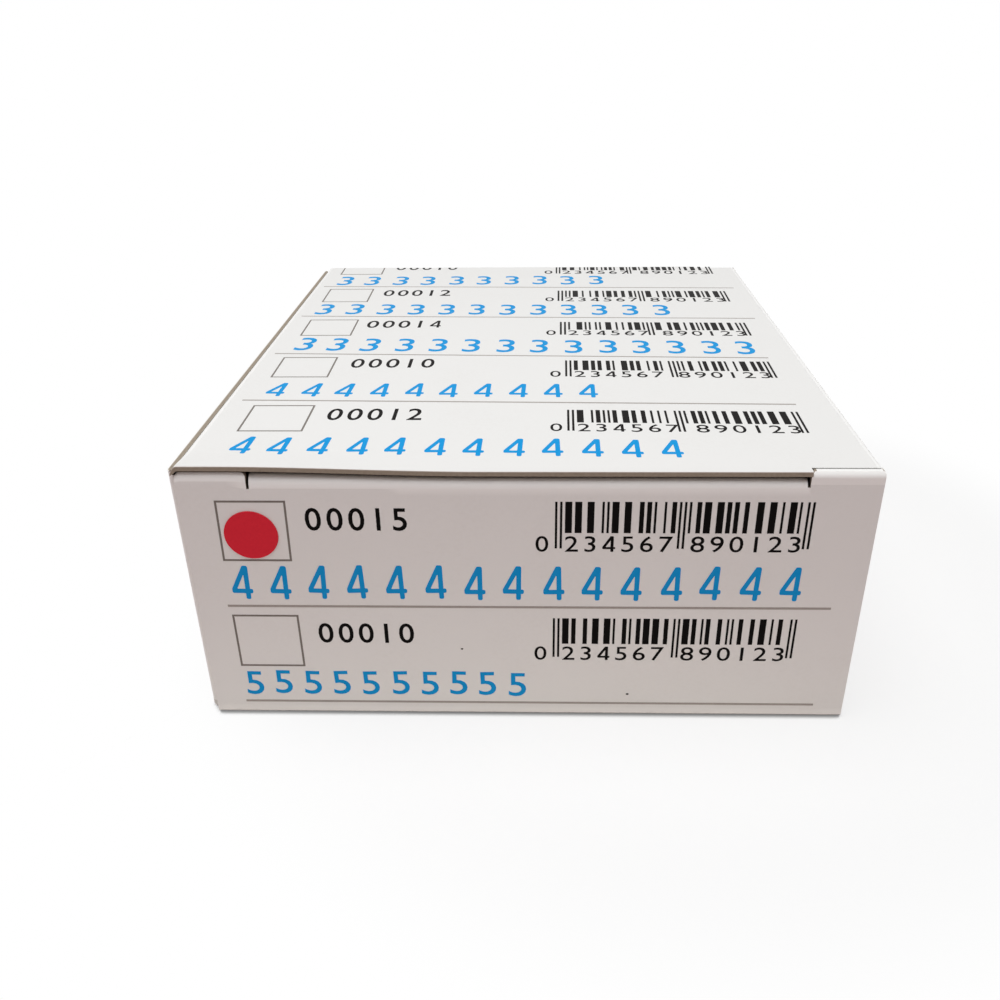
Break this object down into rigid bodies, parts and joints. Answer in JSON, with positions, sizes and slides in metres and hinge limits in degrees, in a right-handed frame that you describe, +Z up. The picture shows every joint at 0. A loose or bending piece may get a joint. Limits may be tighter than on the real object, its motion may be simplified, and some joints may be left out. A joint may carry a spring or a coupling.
{
  "type": "numbering stamp",
  "caption": "Hand numbering stamp with rubber digit bands on thumb wheels, packed in its white folding carton with slit-locked tuck flaps and a size chart.",
  "frame": {"origin": "centre of the carton's base, where it stands", "axes": "+Z up; +Y from the front closure to the rear one, along the carton's depth; +X to the right"},
  "size_m": [0.068, 0.0751, 0.0295],
  "materials": {
    "paperboard": "satin",
    "red_label": "satin",
    "handle_abs": "satin",
    "nickel_steel": "satin",
    "bright_steel": "satin",
    "platen_acetal": "satin",
    "wheel_acetal": "satin",
    "band_rubber": "matte"
  },
  "bodies": {
    "carton": {"top_panel": "paperboard", "bottom_panel": "paperboard", "left_panel": "paperboard", "right_panel": "paperboard", "glue_flap": "paperboard"},
    "front_closure": {"front_closure": "paperboard", "size_dot": "red_label"},
    "front_tuck": {"front_tuck": "paperboard"},
    "front_dust_flap_left": {"front_dust_flap_left": "paperboard"},
    "front_dust_flap_right": {"front_dust_flap_right": "paperboard"},
    "rear_closure": {"rear_closure": "paperboard"},
    "rear_tuck": {"rear_tuck": "paperboard"},
    "rear_dust_flap_left": {"rear_dust_flap_left": "paperboard"},
    "rear_dust_flap_right": {"rear_dust_flap_right": "paperboard"},
    "stamp": {"handle": "handle_abs", "handle_screws": "bright_steel", "frame": "nickel_steel", "axle": "bright_steel", "axle_clips": "bright_steel", "platen_bar": "platen_acetal", "platen_screws": "bright_steel", "digit_band_01": "band_rubber", "digit_band_02": "band_rubber", "digit_band_03": "band_rubber", "digit_band_04": "band_rubber", "digit_band_05": "band_rubber", "digit_band_06": "band_rubber", "digit_band_07": "band_rubber", "digit_band_08": "band_rubber", "digit_band_09": "band_rubber", "digit_band_10": "band_rubber", "digit_band_11": "band_rubber", "digit_band_12": "band_rubber", "digit_band_13": "band_rubber", "digit_band_14": "band_rubber", "digit_band_15": "band_rubber"},
    "thumb_wheel_01": {"thumb_wheel_01": "wheel_acetal"},
    "thumb_wheel_02": {"thumb_wheel_02": "wheel_acetal"},
    "thumb_wheel_03": {"thumb_wheel_03": "wheel_acetal"},
    "thumb_wheel_04": {"thumb_wheel_04": "wheel_acetal"},
    "thumb_wheel_05": {"thumb_wheel_05": "wheel_acetal"},
    "thumb_wheel_06": {"thumb_wheel_06": "wheel_acetal"},
    "thumb_wheel_07": {"thumb_wheel_07": "wheel_acetal"},
    "thumb_wheel_08": {"thumb_wheel_08": "wheel_acetal"},
    "thumb_wheel_09": {"thumb_wheel_09": "wheel_acetal"},
    "thumb_wheel_10": {"thumb_wheel_10": "wheel_acetal"},
    "thumb_wheel_11": {"thumb_wheel_11": "wheel_acetal"},
    "thumb_wheel_12": {"thumb_wheel_12": "wheel_acetal"},
    "thumb_wheel_13": {"thumb_wheel_13": "wheel_acetal"},
    "thumb_wheel_14": {"thumb_wheel_14": "wheel_acetal"},
    "thumb_wheel_15": {"thumb_wheel_15": "wheel_acetal"}
  },
  "joints": [
    {"name": "front_closure_fold", "type": "hinge", "parent": "carton", "child": "front_closure", "pos_m": [0, -0.0371, 0.0004], "axis": [1, 0, 0], "range_deg": [0, 90]},
    {"name": "front_tuck_fold", "type": "hinge", "parent": "front_closure", "child": "front_tuck", "pos_m": [0, -0.03614, 0.02841], "axis": [1, 0, 0], "range_deg": [0, 9]},
    {"name": "front_dust_left_fold", "type": "hinge", "parent": "carton", "child": "front_dust_flap_left", "pos_m": [-0.0336, -0.0365, 0], "axis": [0, 0, -1], "range_deg": [0, 54]},
    {"name": "front_dust_right_fold", "type": "hinge", "parent": "carton", "child": "front_dust_flap_right", "pos_m": [0.0336, -0.0365, 0], "axis": [0, 0, 1], "range_deg": [0, 54]},
    {"name": "rear_closure_fold", "type": "hinge", "parent": "carton", "child": "rear_closure", "pos_m": [0, 0.0371, 0.0004], "axis": [-1, 0, 0], "range_deg": [0, 90]},
    {"name": "rear_tuck_fold", "type": "hinge", "parent": "rear_closure", "child": "rear_tuck", "pos_m": [0, 0.03614, 0.02841], "axis": [-1, 0, 0], "range_deg": [0, 9]},
    {"name": "rear_dust_left_fold", "type": "hinge", "parent": "carton", "child": "rear_dust_flap_left", "pos_m": [-0.0336, 0.0365, 0], "axis": [0, 0, 1], "range_deg": [0, 54]},
    {"name": "rear_dust_right_fold", "type": "hinge", "parent": "carton", "child": "rear_dust_flap_right", "pos_m": [0.0336, 0.0365, 0], "axis": [0, 0, -1], "range_deg": [0, 54]},
    {"name": "stamp_slide", "type": "slide", "parent": "carton", "child": "stamp", "axis": [0, -1, 0], "range_m": [0, 0.0198]},
    {"name": "thumb_wheel_01_turn", "type": "hinge", "parent": "stamp", "child": "thumb_wheel_01", "pos_m": [-0.0273, 0.0139, 0.0133], "axis": [1, 0, 0], "continuous": true},
    {"name": "thumb_wheel_02_turn", "type": "hinge", "parent": "stamp", "child": "thumb_wheel_02", "pos_m": [-0.0234, 0.0139, 0.0133], "axis": [1, 0, 0], "continuous": true},
    {"name": "thumb_wheel_03_turn", "type": "hinge", "parent": "stamp", "child": "thumb_wheel_03", "pos_m": [-0.0195, 0.0139, 0.0133], "axis": [1, 0, 0], "continuous": true},
    {"name": "thumb_wheel_04_turn", "type": "hinge", "parent": "stamp", "child": "thumb_wheel_04", "pos_m": [-0.0156, 0.0139, 0.0133], "axis": [1, 0, 0], "continuous": true},
    {"name": "thumb_wheel_05_turn", "type": "hinge", "parent": "stamp", "child": "thumb_wheel_05", "pos_m": [-0.0117, 0.0139, 0.0133], "axis": [1, 0, 0], "continuous": true},
    {"name": "thumb_wheel_06_turn", "type": "hinge", "parent": "stamp", "child": "thumb_wheel_06", "pos_m": [-0.0078, 0.0139, 0.0133], "axis": [1, 0, 0], "continuous": true},
    {"name": "thumb_wheel_07_turn", "type": "hinge", "parent": "stamp", "child": "thumb_wheel_07", "pos_m": [-0.0039, 0.0139, 0.0133], "axis": [1, 0, 0], "continuous": true},
    {"name": "thumb_wheel_08_turn", "type": "hinge", "parent": "stamp", "child": "thumb_wheel_08", "pos_m": [0, 0.0139, 0.0133], "axis": [1, 0, 0], "continuous": true},
    {"name": "thumb_wheel_09_turn", "type": "hinge", "parent": "stamp", "child": "thumb_wheel_09", "pos_m": [0.0039, 0.0139, 0.0133], "axis": [1, 0, 0], "continuous": true},
    {"name": "thumb_wheel_10_turn", "type": "hinge", "parent": "stamp", "child": "thumb_wheel_10", "pos_m": [0.0078, 0.0139, 0.0133], "axis": [1, 0, 0], "continuous": true},
    {"name": "thumb_wheel_11_turn", "type": "hinge", "parent": "stamp", "child": "thumb_wheel_11", "pos_m": [0.0117, 0.0139, 0.0133], "axis": [1, 0, 0], "continuous": true},
    {"name": "thumb_wheel_12_turn", "type": "hinge", "parent": "stamp", "child": "thumb_wheel_12", "pos_m": [0.0156, 0.0139, 0.0133], "axis": [1, 0, 0], "continuous": true},
    {"name": "thumb_wheel_13_turn", "type": "hinge", "parent": "stamp", "child": "thumb_wheel_13", "pos_m": [0.0195, 0.0139, 0.0133], "axis": [1, 0, 0], "continuous": true},
    {"name": "thumb_wheel_14_turn", "type": "hinge", "parent": "stamp", "child": "thumb_wheel_14", "pos_m": [0.0234, 0.0139, 0.0133], "axis": [1, 0, 0], "continuous": true},
    {"name": "thumb_wheel_15_turn", "type": "hinge", "parent": "stamp", "child": "thumb_wheel_15", "pos_m": [0.0273, 0.0139, 0.0133], "axis": [1, 0, 0], "continuous": true}
  ],
  "couplings": [
    {"joint": "front_closure_fold", "follows": "stamp_slide", "rad_per_m": 79.3},
    {"joint": "front_tuck_fold", "follows": "stamp_slide", "rad_per_m": 7.93},
    {"joint": "front_dust_left_fold", "follows": "stamp_slide", "rad_per_m": 47.58},
    {"joint": "front_dust_right_fold", "follows": "stamp_slide", "rad_per_m": 47.58},
    {"joint": "rear_tuck_fold", "follows": "rear_closure_fold", "ratio": 0.1},
    {"joint": "rear_dust_left_fold", "follows": "rear_closure_fold", "ratio": 0.6},
    {"joint": "rear_dust_right_fold", "follows": "rear_closure_fold", "ratio": 0.6}
  ]
}
